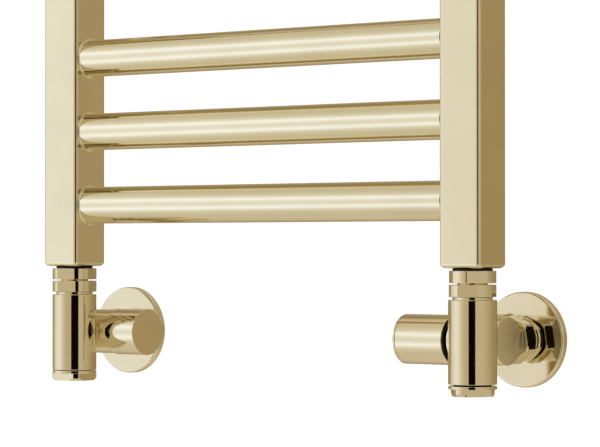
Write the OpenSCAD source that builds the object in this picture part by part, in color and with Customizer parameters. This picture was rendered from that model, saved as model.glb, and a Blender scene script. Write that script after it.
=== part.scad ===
// Hydronic towel warmer rack: two square uprights, round rails in three groups,
// wall posts, and a corner valve under each upright.
// Millimetres. X to the right, Y towards the wall (wall plane at Y = 0), Z up.
// The origin is the centre of the four wall screws.

/* [Rack] */
// outside width of a square upright
upright_w = 30; // [25:0.5:40]
// height of an upright
upright_h = 783; // [500:1:1200]
// wall thickness of an upright
upright_t = 2; // [1.5:0.1:3]
// length of the solid end block that carries the thread
end_block = 12; // [8:1:20]
// radius of the upright's vertical edges
edge_r = 2.5; // [0.5:0.1:4]
// clear width between the uprights
inner_w = 300; // [200:5:700]
// distance from the wall to the uprights' axis
wall_gap = 60; // [50:1:90]

/* [Rails] */
// outside diameter of a rail
rail_d = 25; // [18:0.5:32]
// wall thickness of a rail
rail_t = 1.5; // [1:0.1:2.5]
// centre distance of two neighbouring rails
rail_pitch = 50; // [35:1:80]
// height of the lowest rail
rail_z0 = -350; // [-600:1:-200]
// pitch numbers of the rails, counted from the lowest one
rail_steps = [0, 1, 2, 5, 6, 7, 10, 11, 12, 13, 14];

/* [Wall posts] */
// height of the wall screws above and below the origin
screw_z = 175; // [100:1:400]
// radius of the wall screw holes
screw_hole_r = 2.75; // [2:0.05:4]
// radius of a wall flange
flange_r = 20; // [15:0.5:30]
// thickness of a wall flange
flange_t = 5; // [3:0.5:8]
// radius of a flange's spigot
spigot_r = 8; // [6:0.5:10]
// length of a flange's spigot
spigot_len = 24; // [15:1:30]
// outside radius of a post
post_r = 11; // [9:0.5:14]
// gap between a post and its flange
post_gap = 3; // [1:0.5:8]

/* [Valves] */
// height of the valve centre below the lowest rail
valve_drop = 86.5; // [70:0.5:120]
// radius of the round valve housings
valve_r = 15; // [12:0.5:18]
// length of the upright housing
housing_h = 51.5; // [40:0.5:70]
// offset of the cross housing's axis towards the wall
cross_y = 24; // [18:0.5:28]
// closed end of the cross housing
cross_end = 10; // [8:0.5:15]
// open end of the cross housing, on the head's side
cross_mouth = 20.1; // [18:0.1:26]
// width across the flats of the lock, union and compression nuts
nut_af = 27; // [24:0.5:32]
// radius that trims the corners of the nuts
nut_trim_r = 15; // [13:0.1:18]
// width across the flats of a bottom plug
plug_af = 24; // [20:0.5:28]
// radius of the pipe inlet, for a 15 mm pipe
inlet_r = 7.65; // [7.5:0.05:8]
// full outward travel of a valve's jumper
valve_lift = 4; // [2:0.5:5]

/* [Heads] */
// radius of the wheelhead and of the lockshield cap
head_r = 15.7; // [13:0.1:20]
// start of the wheelhead, from the valve's axis
wheel_start = 29.6; // [27:0.1:35]
// end of the wheelhead
wheel_end = 66.9; // [65:0.1:80]
// end of the lockshield cap
shield_end = 45.4; // [42:0.1:60]

/* [Rosettes] */
// radius of a wall rosette
rosette_r = 30; // [25:0.5:35]
// depth of a rosette's rim
rosette_t = 5; // [3:0.5:10]
// radius of a rosette's raised hub
hub_r = 13; // [11:0.5:18]

/* [Hidden] */
$fn = 64;
eps = 0.1;
brass = [0.84, 0.76, 0.56];
raw_brass = [0.74, 0.62, 0.36];
rubber = [0.08, 0.08, 0.08];
steel = [0.62, 0.62, 0.64];
plastic = [0.06, 0.06, 0.06];
half_h = upright_h / 2;
rail_r = rail_d / 2;
axis_x = (inner_w + upright_w) / 2;
back_y = upright_w / 2;
valve_z = rail_z0 - valve_drop;
half_housing = housing_h / 2;
// thread and sliding clearances
thread_gap = 0.05;
braze_gap = 0.03;
// half-inch pipe thread at both ends of an upright
port_r = 9.3;
tail_r = port_r - thread_gap;
// braze rings at the rail ends
ring_len = 1.2;
ring_r = rail_r + 1.4;
ring_lip = 0.4;
// threaded inserts and studs that hold the posts
insert_r = 5.45;
insert_len = 8;
stud_r = 4;
stud_len = 7.5;
post_wall = 6;
grub_r = 2.5;
grub_len = 2.8;
grub_y = 46;
grub_key_af = 2.5;
grub_key_depth = 1.5;
flange_bore_r = 5.5;
flange_edge = 1;
// stack between an upright and its valve, measured from the valve's centre
upright_end_z = valve_drop - (half_h + rail_z0);
lock_top = 43.5;
lock_bottom = 36;
union_top = 35;
union_bottom = 27.5;
union_shoulder = 33.2;
spigot_top = 31;
washer_top = 32;
thread_r = 11.5;
collar_r = 12.4;
tail_bore_r = 6.5;
tail_top = 55;
// directions of one flat of each nut and plug, in degrees from the X axis
left_lock_turn = 16.3;
right_lock_turn = 44.9;
left_union_turn = 18.6;
right_union_turn = 22.4;
left_plug_turn = 2.2;
right_plug_turn = 44.4;
compression_turn = -9;
// passages inside a valve body
housing_bore_r = 10;
outlet_r = 7;
chamber_r = 8;
seat_near = 2.5;
seat_far = 4.5;
seat_r = 4.5;
inlet_chamber_r = 6;
passage_x = 8.5;
passage_r = 3.5;
bore_floor = 8;
inlet_floor = 3;
inlet_passage_x = 2;
inlet_passage_r = 4;
// compression joint, measured along Y from the valve's axis
socket_y = 34;
nut_front = 39.1;
boss_end = 46;
nut_back = 49.1;
boss_r = 11.9;
boss_core_r = 9.9;
olive_r = 9.4;
olive_end_r = 8.2;
olive_half = 1.4;
olive_belt = 0.8;
olive_seat_len = 2.1;
olive_seat = 1.9;
sleeve_r = 9;
hub_y = 51.5;
// edges and skin of a rosette
rim_edge = 1;
hub_edge = 0.5;
rosette_skin = 1.2;
// headwork, measured along X from the valve's axis
bonnet_in = 13.2;
collar_end = 26.3;
shoulder_x = 24;
guide_af = 10.6;
stem_af = 10.45;
neck_r = 9;
left_neck_end = 34;
right_neck_end = 36;
left_bonnet_af = 20;
shaft_r = 4;
key_w = 5.6;
left_shaft_end = 36;
left_key_end = 41;
right_shaft_end = 46;
right_key_end = 58;
spindle_start = 10.2;
spindle_collar_x = 22;
spindle_collar_r = 5.2;
spindle_screw_r = 2.5;
// jumper: the washer on the seat and its six-sided stem
washer_r = 6.5;
washer_end = 7.5;
jumper_end = 17;
jumper_bore = 6;
// lockshield cap
shield_start = cross_mouth + 0.1;
shield_skin = 3;
shield_step_x = 27;
shield_room_x = 35;
shield_room_r = 7;
// wheelhead shell, its insert, its screw and its cover
wheel_edge = 0.4;
wheel_groove_x = 64.2;
wheel_groove_w = 1.3;
wheel_groove_depth = 0.4;
shell_bore_r = 14.4;
insert_start = 29.9;
insert_end = 62;
wheel_recess_r = 11.5;
wheel_recess_x = 44;
wheel_floor_x = 60;
wheel_screw_r = 1.6;
wheel_screw_start = 48.5;
screw_head_r = 4;
screw_head_x = 63;
screw_room_r = 4.5;
screw_room_x = 65;
screw_key_af = 2.5;
screw_key_x = 61.4;
cover_r = 6;
cover_in = 2.2;
cover_out = 0.3;
// bottom plugs, measured from the valve's centre
left_plug_gap = 0.35;
right_plug_gap = 0.95;
plug_lip_t = 2;
plug_reach = 9;
plug_end = -33;
plug_edge = 1.7;
plug_edge_len = 1.5;
plug_seal_r = 11.6;
// plugs at the top of the uprights
cap_seal_t = 1;
cap_t = 3.5;
cap_r = 12.5;
cap_edge = 0.8;
cap_seal_r = 12.2;
cap_top = half_h + cap_seal_t + cap_t;
blank_key_af = 8;
blank_key_depth = 5;
// bleed screw in the vent plug
vent_room_r = 4.2;
vent_room_depth = 3.4;
vent_depth = 11;
vent_passage_r = 1.2;
weep_r = 0.8;
weep_depth = 2;
bleed_r = 3;
bleed_tip_r = 1.5;
bleed_tip_len = 1.5;
bleed_key_w = 5;
bleed_key_h = 3;

// round bars along the three axes, between two coordinates
module rod_x(a, b, r) {
    translate([min(a, b), 0, 0])
        rotate([0, 90, 0])
            cylinder(h = abs(b - a), r = r);
}

module rod_y(a, b, r) {
    translate([0, a, 0])
        rotate([-90, 0, 0])
            cylinder(h = b - a, r = r);
}

module rod_z(a, b, r) {
    translate([0, 0, a])
        cylinder(h = b - a, r = r);
}

// hexagonal bars; turn is the direction of one flat's normal
module hex_x(a, b, af) {
    translate([min(a, b), 0, 0])
        rotate([0, 90, 0])
            cylinder(h = abs(b - a), r = af / 2 / cos(30), $fn = 6);
}

module hex_z(a, b, af, turn) {
    translate([0, 0, a])
        rotate([0, 0, turn - 30])
            cylinder(h = b - a, r = af / 2 / cos(30), $fn = 6);
}

module hex_y(a, b, af, turn) {
    translate([0, a, 0])
        rotate([-90, 0, 0])
            rotate([0, 0, turn - 30])
                cylinder(h = b - a, r = af / 2 / cos(30), $fn = 6);
}

// square bars
module square_x(a, b, w) {
    translate([min(a, b), -w / 2, -w / 2])
        cube([abs(b - a), w, w]);
}

module square_z(a, b, w, turn) {
    rotate([0, 0, turn])
        translate([-w / 2, -w / 2, a])
            cube([w, w, b - a]);
}

module rounded_square(w, r) {
    square([w, w - 2 * r], center = true);
    square([w - 2 * r, w], center = true);
    for (x = [-1, 1])
        for (y = [-1, 1])
            translate([x * (w / 2 - r), y * (w / 2 - r)])
                circle(r = r);
}

module at_upright(side) {
    translate([side * axis_x, -wall_gap, 0])
        children();
}

module at_valve(side) {
    translate([side * axis_x, -wall_gap, valve_z])
        children();
}

module at_cross(side) {
    at_valve(side)
        translate([0, cross_y, 0])
            children();
}

module at_post(side, level) {
    translate([side * axis_x, -wall_gap, level * screw_z])
        children();
}

// ---- rack ----

module upright(side) {
    color(brass)
        at_upright(side)
            difference() {
                translate([0, 0, -half_h])
                    linear_extrude(height = upright_h)
                        rounded_square(upright_w, edge_r);
                translate([0, 0, -half_h + end_block])
                    linear_extrude(height = upright_h - 2 * end_block)
                        square(upright_w - 2 * upright_t, center = true);
                rod_z(-half_h - eps, half_h + eps, port_r);
                for (step = rail_steps)
                    translate([0, 0, rail_z0 + step * rail_pitch])
                        rod_x(0, -side * (upright_w / 2 + eps), rail_r + braze_gap);
                for (level = [-1, 1])
                    translate([0, 0, level * screw_z])
                        rod_y(0, back_y + eps, insert_r + braze_gap);
            }
}

module left_upright() {
    upright(-1);
}

module right_upright() {
    upright(1);
}

module rail(number) {
    reach = inner_w / 2 + upright_t;
    color(brass)
        translate([0, -wall_gap, rail_z0 + rail_steps[number - 1] * rail_pitch])
            difference() {
                rod_x(-reach, reach, rail_r);
                rod_x(-reach - eps, reach + eps, rail_r - rail_t);
            }
}

module braze_rings(side) {
    color(brass)
        for (step = rail_steps)
            translate([side * inner_w / 2, -wall_gap, rail_z0 + step * rail_pitch])
                rotate([0, -side * 90, 0])
                    difference() {
                        cylinder(h = ring_len, r1 = ring_r, r2 = rail_r + ring_lip);
                        translate([0, 0, -eps])
                            cylinder(h = ring_len + 2 * eps, r = rail_r + braze_gap);
                    }
}

module left_braze_rings() {
    braze_rings(-1);
}

module right_braze_rings() {
    braze_rings(1);
}

// ---- plugs at the top of the uprights ----

module top_plug_blank() {
    rod_z(half_h - end_block + 2, half_h + cap_seal_t + eps, tail_r);
    rod_z(half_h + cap_seal_t, cap_top - cap_edge, cap_r);
    translate([0, 0, cap_top - cap_edge])
        cylinder(h = cap_edge, r1 = cap_r, r2 = cap_r - cap_edge);
}

module vent_plug() {
    color(brass)
        at_upright(1)
            difference() {
                top_plug_blank();
                rod_z(cap_top - vent_room_depth, cap_top + eps, vent_room_r);
                rod_z(cap_top - vent_depth, cap_top, bleed_r + thread_gap);
                rod_z(0, cap_top - vent_depth + eps, vent_passage_r);
                translate([0, 0, cap_top - weep_depth])
                    rod_y(0, cap_r + 1, weep_r);
            }
}

module bleed_screw() {
    color(raw_brass)
        at_upright(1) {
            rod_z(cap_top - vent_depth + bleed_tip_len, cap_top - vent_room_depth, bleed_r);
            translate([0, 0, cap_top - vent_depth])
                cylinder(h = bleed_tip_len, r1 = bleed_tip_r, r2 = bleed_r);
            translate([0, 0, cap_top - vent_room_depth])
                square_z(0, bleed_key_h, bleed_key_w, 0);
        }
}

module blanking_plug() {
    color(brass)
        at_upright(-1)
            difference() {
                top_plug_blank();
                hex_z(cap_top - blank_key_depth, cap_top + eps, blank_key_af, 0);
            }
}

module top_plug_seals() {
    color(rubber)
        for (side = [-1, 1])
            at_upright(side)
                difference() {
                    rod_z(half_h, half_h + cap_seal_t, cap_seal_r);
                    rod_z(half_h - eps, half_h + cap_seal_t + eps, port_r + thread_gap);
                }
}

// ---- wall posts ----

module wall_flange(side, level) {
    face = wall_gap - flange_t;
    color(brass)
        at_post(side, level)
            difference() {
                union() {
                    rod_y(face + flange_edge, wall_gap, flange_r);
                    translate([0, face, 0])
                        rotate([-90, 0, 0])
                            cylinder(h = flange_edge, r1 = flange_r - flange_edge, r2 = flange_r);
                    rod_y(face - spigot_len, face + eps, spigot_r);
                }
                rod_y(face - spigot_len - eps, face, flange_bore_r);
                rod_y(face - eps, wall_gap + eps, screw_hole_r);
            }
}

module lower_left_wall_flange() {
    wall_flange(-1, -1);
}

module lower_right_wall_flange() {
    wall_flange(1, -1);
}

module upper_left_wall_flange() {
    wall_flange(-1, 1);
}

module upper_right_wall_flange() {
    wall_flange(1, 1);
}

module post(side, level) {
    post_end = wall_gap - flange_t - post_gap;
    color(brass)
        at_post(side, level)
            difference() {
                union() {
                    rod_y(back_y, post_end, post_r);
                    rod_y(back_y - stud_len, back_y + eps, stud_r);
                }
                rod_y(back_y + post_wall, post_end + eps, spigot_r + thread_gap);
                translate([0, grub_y, 0])
                    rod_z(-post_r - 1, -spigot_r + 1, grub_r + thread_gap);
            }
}

module lower_left_post() {
    post(-1, -1);
}

module lower_right_post() {
    post(1, -1);
}

module upper_left_post() {
    post(-1, 1);
}

module upper_right_post() {
    post(1, 1);
}

module threaded_inserts() {
    color(raw_brass)
        for (side = [-1, 1])
            for (level = [-1, 1])
                at_post(side, level)
                    difference() {
                        rod_y(back_y - insert_len, back_y, insert_r);
                        rod_y(back_y - insert_len - eps, back_y + eps, stud_r + thread_gap);
                    }
}

module grub_screws() {
    color(steel)
        for (side = [-1, 1])
            for (level = [-1, 1])
                at_post(side, level)
                    translate([0, grub_y, -spigot_r - grub_len])
                        difference() {
                            rod_z(0, grub_len, grub_r);
                            hex_z(-eps, grub_key_depth, grub_key_af, 0);
                        }
}

// ---- joint between an upright and its valve ----

module tail(side) {
    color(raw_brass)
        at_valve(side)
            difference() {
                union() {
                    rod_z(washer_top, union_shoulder, thread_r - 0.5);
                    rod_z(union_shoulder - eps, tail_top, tail_r);
                }
                rod_z(washer_top - eps, tail_top + eps, tail_bore_r);
            }
}

module left_tail() {
    tail(-1);
}

module right_tail() {
    tail(1);
}

// a round bar with four flats
module four_flats(a, b, turn) {
    intersection() {
        square_z(a, b, nut_af, turn);
        rod_z(a, b, nut_trim_r);
    }
}

module lock_nut(side, turn) {
    color(brass)
        at_valve(side)
            difference() {
                four_flats(lock_bottom, lock_top, turn);
                rod_z(lock_bottom - eps, lock_top + eps, port_r);
            }
}

module left_lock_nut() {
    lock_nut(-1, left_lock_turn);
}

module right_lock_nut() {
    lock_nut(1, right_lock_turn);
}

module union_nut(side, turn) {
    color(brass)
        at_valve(side)
            difference() {
                four_flats(union_bottom, union_top, turn);
                rod_z(union_bottom - eps, union_shoulder, thread_r + thread_gap);
                rod_z(union_shoulder - eps, union_top + eps, tail_r + 0.1);
            }
}

module left_union_nut() {
    union_nut(-1, left_union_turn);
}

module right_union_nut() {
    union_nut(1, right_union_turn);
}

module tail_washers() {
    color(rubber)
        for (side = [-1, 1])
            at_valve(side)
                difference() {
                    rod_z(lock_top, upright_end_z, collar_r);
                    rod_z(lock_top - eps, upright_end_z + eps, port_r + thread_gap);
                }
}

module union_washers() {
    color(rubber)
        for (side = [-1, 1])
            at_valve(side)
                difference() {
                    rod_z(spigot_top, washer_top, thread_r - 0.5);
                    rod_z(spigot_top - eps, washer_top + eps, outlet_r + 0.2);
                }
}

// ---- valve bodies ----

module valve_body(side) {
    head = -side;
    color(brass)
        at_valve(side)
            difference() {
                union() {
                    rod_z(-half_housing, half_housing, valve_r);
                    rod_z(half_housing - eps, union_bottom, collar_r);
                    rod_z(union_bottom - eps, spigot_top, thread_r);
                    translate([0, cross_y, 0])
                        rod_x(side * cross_end, head * cross_mouth, valve_r);
                    rod_y(cross_y, nut_front + eps, boss_core_r);
                    rod_y(nut_front, boss_end, boss_r);
                }
                rod_z(-half_housing - eps, half_housing - bore_floor, housing_bore_r);
                rod_z(0, spigot_top + eps, outlet_r);
                translate([0, cross_y, 0]) {
                    rod_x(head * seat_far, head * (cross_mouth + eps), chamber_r);
                    rod_x(0, head * (seat_far + eps), seat_r);
                    rod_x(side * (cross_end - inlet_floor), head * seat_near, inlet_chamber_r);
                }
                translate([head * passage_x, 0, 0])
                    rod_y(0, cross_y, passage_r);
                translate([side * inlet_passage_x, 0, 0])
                    rod_y(cross_y, socket_y + eps, inlet_passage_r);
                rod_y(socket_y, boss_end + eps, inlet_r);
                translate([0, boss_end - olive_seat_len, 0])
                    rotate([-90, 0, 0])
                        cylinder(h = olive_seat_len, r1 = inlet_r, r2 = inlet_r + olive_seat);
            }
}

module left_valve_body() {
    valve_body(-1);
}

module right_valve_body() {
    valve_body(1);
}

module bottom_plug(side, gap, turn) {
    lip_top = -half_housing - gap;
    lip_low = lip_top - plug_lip_t;
    color(brass)
        at_valve(side) {
            rod_z(lip_low, lip_top, valve_r - 0.1);
            rod_z(lip_top - eps, lip_top + plug_reach, housing_bore_r - thread_gap);
            intersection() {
                square_z(plug_end, lip_low + eps, plug_af, turn);
                union() {
                    rod_z(plug_end + plug_edge_len, lip_low + eps, nut_trim_r);
                    translate([0, 0, plug_end])
                        cylinder(h = plug_edge_len, r1 = nut_trim_r - plug_edge, r2 = nut_trim_r);
                }
            }
        }
}

module left_bottom_plug() {
    bottom_plug(-1, left_plug_gap, left_plug_turn);
}

module right_bottom_plug() {
    bottom_plug(1, right_plug_gap, right_plug_turn);
}

module plug_seal(side, gap) {
    at_valve(side)
        difference() {
            rod_z(-half_housing - gap, -half_housing, plug_seal_r);
            rod_z(-half_housing - gap - eps, -half_housing + eps, housing_bore_r + thread_gap);
        }
}

module plug_seals() {
    color(rubber) {
        plug_seal(-1, left_plug_gap);
        plug_seal(1, right_plug_gap);
    }
}

// ---- pipe joints and rosettes ----

module compression_nut(side) {
    color(brass)
        at_valve(side)
            difference() {
                intersection() {
                    hex_y(nut_front, nut_back, nut_af, compression_turn);
                    rod_y(nut_front, nut_back, nut_trim_r + 0.2);
                }
                rod_y(nut_front - eps, boss_end + 0.6, boss_r + thread_gap);
                rod_y(boss_end, boss_end + olive_half, olive_r + 0.2);
                translate([0, boss_end + olive_half, 0])
                    rotate([-90, 0, 0])
                        cylinder(h = 0.7, r1 = olive_r + 0.2, r2 = inlet_r + 0.35);
                rod_y(boss_end, nut_back + eps, inlet_r);
            }
}

module left_compression_nut() {
    compression_nut(-1);
}

module right_compression_nut() {
    compression_nut(1);
}

module olives() {
    total = 2 * olive_half + olive_belt - 0.2;
    color(raw_brass)
        for (side = [-1, 1])
            at_valve(side)
                translate([0, boss_end - olive_half, 0])
                    rotate([-90, 0, 0])
                        difference() {
                            union() {
                                cylinder(h = olive_half, r1 = olive_end_r, r2 = olive_r);
                                translate([0, 0, olive_half])
                                    cylinder(h = olive_belt, r = olive_r);
                                translate([0, 0, olive_half + olive_belt])
                                    cylinder(h = olive_half - 0.2, r1 = olive_r, r2 = olive_end_r - 0.2);
                            }
                            translate([0, 0, -eps])
                                cylinder(h = total + 2 * eps, r = inlet_r);
                        }
}

module pipe_sleeve(side) {
    color(brass)
        at_valve(side)
            difference() {
                rod_y(nut_back, wall_gap, sleeve_r);
                rod_y(nut_back - eps, wall_gap + eps, inlet_r);
            }
}

module left_pipe_sleeve() {
    pipe_sleeve(-1);
}

module right_pipe_sleeve() {
    pipe_sleeve(1);
}

module rosette(side) {
    face = wall_gap - rosette_t;
    color(brass)
        at_valve(side)
            difference() {
                union() {
                    translate([0, face, 0])
                        rotate([-90, 0, 0])
                            cylinder(h = rim_edge, r1 = rosette_r - rim_edge, r2 = rosette_r);
                    rod_y(face + rim_edge, wall_gap, rosette_r);
                    rod_y(hub_y + hub_edge, face + eps, hub_r);
                    translate([0, hub_y, 0])
                        rotate([-90, 0, 0])
                            cylinder(h = hub_edge, r1 = hub_r - hub_edge, r2 = hub_r);
                }
                rod_y(face + rosette_skin, wall_gap + eps, rosette_r - rosette_skin);
                rod_y(hub_y - eps, wall_gap, sleeve_r + thread_gap);
            }
}

module left_rosette() {
    rosette(-1);
}

module right_rosette() {
    rosette(1);
}

// ---- headwork ----

module bonnet_bores(head, neck_end) {
    hex_x(head * (bonnet_in - eps), head * shoulder_x, guide_af);
    rod_x(head * shoulder_x - head * eps, head * (neck_end + eps), shaft_r + thread_gap);
}

module left_bonnet() {
    color(brass)
        at_cross(-1)
            difference() {
                union() {
                    rod_x(bonnet_in, cross_mouth + eps, chamber_r - thread_gap);
                    hex_x(cross_mouth, shoulder_x, left_bonnet_af);
                    rod_x(shoulder_x - eps, left_neck_end, neck_r);
                }
                bonnet_bores(1, left_neck_end);
            }
}

module right_bonnet() {
    color(brass)
        at_cross(1)
            difference() {
                union() {
                    rod_x(-bonnet_in, -cross_mouth - eps, chamber_r - thread_gap);
                    rod_x(-cross_mouth, -collar_end, valve_r);
                    rod_x(-collar_end + eps, -right_neck_end, neck_r);
                }
                bonnet_bores(-1, right_neck_end);
            }
}

module spindle_inner(head) {
    rod_x(head * spindle_start, head * (spindle_collar_x + eps), spindle_screw_r);
    rod_x(head * spindle_collar_x, head * shoulder_x, spindle_collar_r);
}

module left_spindle() {
    color(raw_brass)
        at_cross(-1) {
            spindle_inner(1);
            rod_x(shoulder_x - eps, left_shaft_end, shaft_r);
            square_x(left_shaft_end - eps, left_key_end, key_w);
        }
}

module right_spindle() {
    color(raw_brass)
        at_cross(1)
            difference() {
                union() {
                    spindle_inner(-1);
                    rod_x(-shoulder_x + eps, -right_shaft_end, shaft_r);
                    square_x(-right_shaft_end + eps, -right_key_end, key_w);
                }
                rod_x(-wheel_screw_start + 0.5, -right_key_end - eps, wheel_screw_r + thread_gap);
            }
}

module jumper(side) {
    head = -side;
    color(raw_brass)
        at_cross(side)
            difference() {
                union() {
                    rod_x(head * seat_far, head * washer_end, washer_r);
                    hex_x(head * (washer_end - eps), head * jumper_end, stem_af);
                }
                rod_x(head * jumper_bore, head * (jumper_end + eps), spindle_screw_r + thread_gap);
            }
}

module left_jumper() {
    jumper(-1);
}

module right_jumper() {
    jumper(1);
}

module lockshield_cap() {
    color(brass)
        at_cross(-1)
            difference() {
                rod_x(shield_start, shield_end, head_r);
                rod_x(cross_mouth, shield_step_x, head_r - shield_skin);
                rod_x(shield_step_x - eps, shield_room_x, neck_r + thread_gap);
                rod_x(shield_room_x - eps, shield_end - shield_skin, shield_room_r);
            }
}

module wheelhead() {
    color(brass)
        at_cross(1)
            difference() {
                union() {
                    rod_x(-wheel_start, -wheel_groove_x, head_r);
                    rod_x(-wheel_start, -wheel_end, head_r - wheel_groove_depth);
                    rod_x(-wheel_groove_x - wheel_groove_w, -wheel_end + wheel_edge, head_r);
                    translate([-wheel_end, 0, 0])
                        rotate([0, 90, 0])
                            cylinder(h = wheel_edge, r1 = head_r - wheel_edge, r2 = head_r);
                }
                rod_x(-wheel_start + eps, -insert_end, shell_bore_r);
                rod_x(-insert_end + eps, -screw_room_x, screw_room_r);
                rod_x(-wheel_end + cover_in, -wheel_end - eps, cover_r);
            }
}

module wheelhead_insert() {
    color(plastic)
        at_cross(1)
            difference() {
                rod_x(-insert_start, -insert_end, shell_bore_r - thread_gap);
                rod_x(-insert_start + eps, -wheel_recess_x, wheel_recess_r);
                rod_x(-wheel_recess_x + eps, -right_shaft_end, shaft_r + thread_gap);
                square_x(-right_shaft_end + eps, -right_key_end - eps, key_w + 2 * thread_gap);
                rod_x(-right_key_end, -wheel_floor_x - eps, wheel_screw_r + 0.5);
                rod_x(-wheel_floor_x, -insert_end - eps, screw_room_r);
            }
}

module wheelhead_screw() {
    color(steel)
        at_cross(1)
            difference() {
                union() {
                    rod_x(-wheel_screw_start, -wheel_floor_x - eps, wheel_screw_r);
                    rod_x(-wheel_floor_x, -screw_head_x, screw_head_r);
                }
                hex_x(-screw_key_x, -screw_head_x - eps, screw_key_af);
            }
}

module wheelhead_cover() {
    color(brass)
        at_cross(1)
            rod_x(-wheel_end + cover_in, -wheel_end + cover_out, cover_r - thread_gap);
}

left_upright();
right_upright();
rail(1);  // rail_01
rail(2);  // rail_02
rail(3);  // rail_03
rail(4);  // rail_04
rail(5);  // rail_05
rail(6);  // rail_06
rail(7);  // rail_07
rail(8);  // rail_08
rail(9);  // rail_09
rail(10);  // rail_10
rail(11);  // rail_11
left_braze_rings();
right_braze_rings();
vent_plug();
bleed_screw();
blanking_plug();
top_plug_seals();
lower_left_wall_flange();
lower_right_wall_flange();
upper_left_wall_flange();
upper_right_wall_flange();
lower_left_post();
lower_right_post();
upper_left_post();
upper_right_post();
threaded_inserts();
grub_screws();
left_tail();
right_tail();
left_lock_nut();
right_lock_nut();
left_union_nut();
right_union_nut();
left_valve_body();
right_valve_body();
left_bottom_plug();
right_bottom_plug();
left_compression_nut();
right_compression_nut();
left_pipe_sleeve();
right_pipe_sleeve();
left_rosette();
right_rosette();
left_bonnet();
right_bonnet();
left_spindle();
right_spindle();
left_jumper();
right_jumper();
lockshield_cap();
wheelhead();
wheelhead_insert();
wheelhead_screw();
wheelhead_cover();
tail_washers();
union_washers();
plug_seals();
olives();
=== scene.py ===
"""Looks of a towel warmer rack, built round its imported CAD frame."""

import math

import bmesh
import bpy
import numpy as np
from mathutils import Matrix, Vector


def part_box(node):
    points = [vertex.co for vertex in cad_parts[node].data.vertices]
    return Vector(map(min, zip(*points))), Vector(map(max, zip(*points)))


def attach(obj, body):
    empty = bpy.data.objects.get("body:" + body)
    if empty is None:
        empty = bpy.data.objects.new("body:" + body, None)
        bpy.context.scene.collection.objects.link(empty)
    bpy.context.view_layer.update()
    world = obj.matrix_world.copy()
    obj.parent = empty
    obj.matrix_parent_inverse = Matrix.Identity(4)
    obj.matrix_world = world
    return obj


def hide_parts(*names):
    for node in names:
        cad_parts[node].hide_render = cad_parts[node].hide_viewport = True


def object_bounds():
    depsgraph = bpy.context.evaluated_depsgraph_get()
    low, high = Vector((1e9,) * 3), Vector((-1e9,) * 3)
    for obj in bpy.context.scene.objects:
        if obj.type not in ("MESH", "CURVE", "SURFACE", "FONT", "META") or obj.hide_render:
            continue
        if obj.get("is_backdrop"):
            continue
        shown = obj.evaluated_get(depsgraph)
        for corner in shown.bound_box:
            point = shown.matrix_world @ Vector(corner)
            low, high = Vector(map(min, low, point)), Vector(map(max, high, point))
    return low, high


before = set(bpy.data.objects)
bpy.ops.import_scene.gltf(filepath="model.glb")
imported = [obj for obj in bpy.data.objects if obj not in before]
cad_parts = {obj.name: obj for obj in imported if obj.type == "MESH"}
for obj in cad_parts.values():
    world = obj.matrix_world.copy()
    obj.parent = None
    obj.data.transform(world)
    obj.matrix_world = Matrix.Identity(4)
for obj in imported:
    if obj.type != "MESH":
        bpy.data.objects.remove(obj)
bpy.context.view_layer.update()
scene = bpy.context.scene
scene.view_settings.view_transform = "Standard"
scene.view_settings.look = "None"

MM = 0.001
ROUND = 128  # segments of a full turn


# ---------------------------------------------------------------- materials
def node_group(tree, kind, **sockets):
    """A new node with some of its inputs set."""
    node = tree.nodes.new(kind)
    for key, value in sockets.items():
        node.inputs[key.replace("_", " ")].default_value = value
    return node


def noise(tree, source, scale, detail, stretch=None):
    """Noise in object coordinates, stretched along an axis when asked."""
    if stretch is not None:
        mapping = tree.nodes.new("ShaderNodeMapping")
        mapping.inputs["Scale"].default_value = stretch
        tree.links.new(source, mapping.inputs["Vector"])
        source = mapping.outputs["Vector"]
    node = node_group(tree, "ShaderNodeTexNoise", Scale=scale, Detail=detail)
    tree.links.new(source, node.inputs["Vector"])
    return node.outputs["Fac"]


def remap(tree, source, low, high, start=0.3, end=0.7):
    node = tree.nodes.new("ShaderNodeMapRange")
    node.inputs["From Min"].default_value = start
    node.inputs["From Max"].default_value = end
    node.inputs["To Min"].default_value = low
    node.inputs["To Max"].default_value = high
    tree.links.new(source, node.inputs["Value"])
    return node.outputs["Result"]


def maths(tree, operation, a, b=None, c=None):
    node = tree.nodes.new("ShaderNodeMath")
    node.operation = operation
    for i, value in enumerate((a, b, c)):
        if value is None:
            continue
        if isinstance(value, (int, float)):
            node.inputs[i].default_value = value
        else:
            tree.links.new(value, node.inputs[i])
    return node.outputs[0]


def blend_colours(tree, factor, low, high):
    node = tree.nodes.new("ShaderNodeMix")
    node.data_type = "RGBA"
    tree.links.new(factor, node.inputs["Factor"])
    node.inputs["A"].default_value = (*low, 1)
    node.inputs["B"].default_value = (*high, 1)
    return node.outputs["Result"]


def new_material(name, metallic):
    material = bpy.data.materials.new(name)
    material.use_nodes = True
    tree = material.node_tree
    shader = tree.nodes["Principled BSDF"]
    shader.inputs["Metallic"].default_value = metallic
    coords = tree.nodes.new("ShaderNodeTexCoord").outputs["Object"]
    return material, tree, shader, coords


def add_bump(tree, shader, height, distance, strength=1.0):
    bump = node_group(tree, "ShaderNodeBump", Strength=strength, Distance=distance)
    tree.links.new(height, bump.inputs["Height"])
    tree.links.new(bump.outputs["Normal"], shader.inputs["Normal"])


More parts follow.
